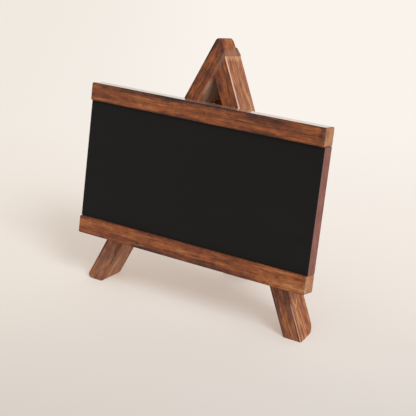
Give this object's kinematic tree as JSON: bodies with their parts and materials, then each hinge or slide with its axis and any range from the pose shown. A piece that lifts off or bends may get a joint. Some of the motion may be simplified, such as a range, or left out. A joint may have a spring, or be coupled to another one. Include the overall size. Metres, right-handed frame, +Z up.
{
  "type": "tabletop chalkboard easel",
  "caption": "Small freestanding wooden chalkboard: a slate-black writing board between two stained rails on an A-shaped easel with a hinged rear leg.",
  "frame": {"origin": "on the table, under the middle of the open easel's bounding box", "axes": "+X to the right as the board is read, +Y from the board towards the rear leg, +Z up"},
  "size_m": [0.3, 0.123, 0.2937],
  "materials": {
    "stained_pine": "reddish-brown stained softwood, open grain, thin satin coat, paler on worn arrises",
    "stained_board": "backing board with a thin reddish stain, matt",
    "chalkboard": "matt slate-black chalkboard paint on hardboard",
    "beech_dowel": "plain beech",
    "hinge_brass": "dull brass plate, lightly tarnished",
    "steel_nail": "bright wire nails, dull at the ends"
  },
  "bodies": {
    "frame": {"left_leg": "stained_pine", "right_leg": "stained_pine", "top_rail": "stained_pine", "bottom_rail": "stained_pine", "chalkboard_sheet": "chalkboard", "backing_board": "stained_board", "top_rail_dowels": "beech_dowel", "bottom_rail_dowels": "beech_dowel", "tip_nails": "steel_nail", "top_rail_nails": "steel_nail", "bottom_rail_nails": "steel_nail", "hinge_frame_leaf": "hinge_brass", "hinge_pin": "hinge_brass", "hinge_frame_screws": "hinge_brass"},
    "rear_support": {"rear_leg": "stained_pine", "hinge_rear_leaf": "hinge_brass", "hinge_rear_screws": "hinge_brass"}
  },
  "joints": [
    {"name": "rear_leg_fold", "type": "hinge", "parent": "frame", "child": "rear_support", "pos_m": [0, 0.0238, 0.22087], "axis": [1, 0, 0], "range_deg": [-17, 0]}
  ]
}
